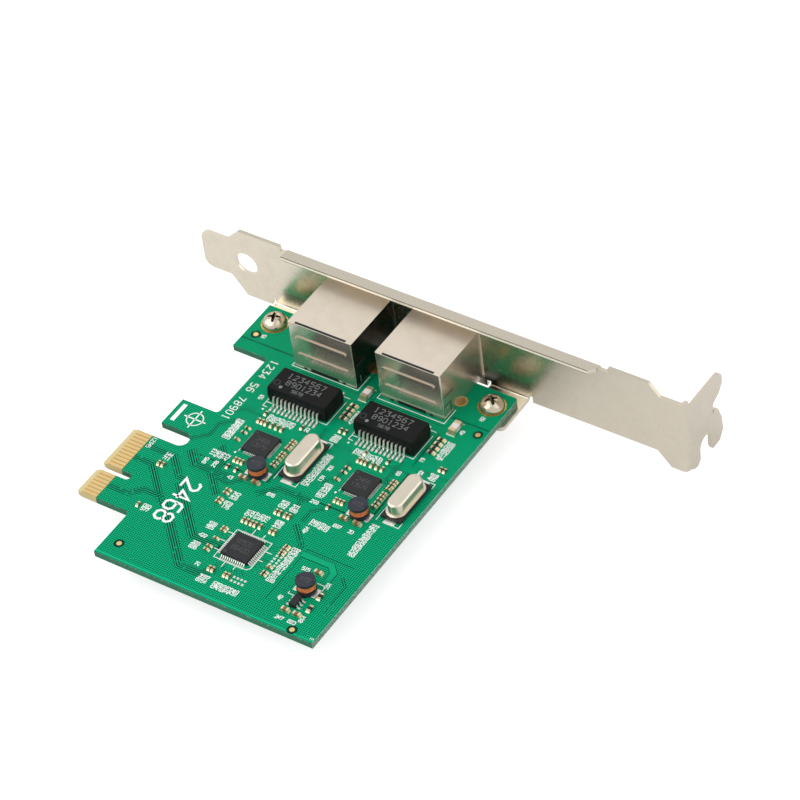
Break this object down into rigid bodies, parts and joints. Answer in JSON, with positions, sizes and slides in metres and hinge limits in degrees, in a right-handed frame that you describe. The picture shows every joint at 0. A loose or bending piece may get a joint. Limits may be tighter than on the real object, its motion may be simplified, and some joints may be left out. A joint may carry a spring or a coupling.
{
  "type": "network interface card",
  "caption": "Full-height expansion card with a short gold edge connector, shielded jack ports and a folded steel slot bracket.",
  "frame": {"origin": "middle of the key notch on the mating edge of the edge connector, half-way through the board", "axes": "+X from the mating edge across the board to its far long edge, +Y along the board towards the slot bracket, +Z out of the component side"},
  "size_m": [0.12, 0.0945, 0.0237],
  "materials": {
    "laminate": "green solder mask, glossy",
    "gold_plate": "gold plated",
    "bracket_steel": "nickel plated sheet, satin",
    "screw_steel": "plated, satin",
    "shield_metal": "tinned sheet, satin",
    "can_metal": "drawn can, satin",
    "tinned_lead": "tinned",
    "black_plastic": "moulded",
    "mould_compound": "moulded, fine grain",
    "light_pipe": "clear",
    "ferrite": "sintered",
    "copper_wire": "enamelled copper",
    "capacitor_ceramic": "fired",
    "resistor_ceramic": "glazed",
    "surge_ceramic": "fired"
  },
  "bodies": {
    "root": {"bracket": "bracket_steel", "bracket_screws": "screw_steel", "capacitor_bodies": "capacitor_ceramic", "capacitor_ends": "tinned_lead", "circuit_board": "laminate", "controller_1": "mould_compound", "controller_2": "mould_compound", "crystal_1_base": "black_plastic", "crystal_1_can": "can_metal", "crystal_1_terminals": "tinned_lead", "crystal_2_base": "black_plastic", "crystal_2_can": "can_metal", "crystal_2_terminals": "tinned_lead", "edge_contacts": "gold_plate", "inductor_1_coil": "copper_wire", "inductor_1_core": "ferrite", "inductor_1_terminals": "tinned_lead", "inductor_2_coil": "copper_wire", "inductor_2_core": "ferrite", "inductor_2_terminals": "tinned_lead", "inductor_3_coil": "copper_wire", "inductor_3_core": "ferrite", "inductor_3_terminals": "tinned_lead", "jack_1_contacts": "gold_plate", "jack_1_housing": "black_plastic", "jack_1_lights": "light_pipe", "jack_1_shell": "shield_metal", "jack_2_contacts": "gold_plate", "jack_2_housing": "black_plastic", "jack_2_lights": "light_pipe", "jack_2_shell": "shield_metal", "plated_rings": "gold_plate", "regulator": "mould_compound", "regulator_leads": "tinned_lead", "resistor_bodies": "resistor_ceramic", "resistor_ends": "tinned_lead", "surge_capacitor_bodies": "surge_ceramic", "surge_capacitor_ends": "tinned_lead", "switch_chip": "mould_compound", "switch_leads": "tinned_lead", "transformer_1_body": "mould_compound", "transformer_1_leads": "tinned_lead", "transformer_2_body": "mould_compound", "transformer_2_leads": "tinned_lead"}
  },
  "joints": []
}
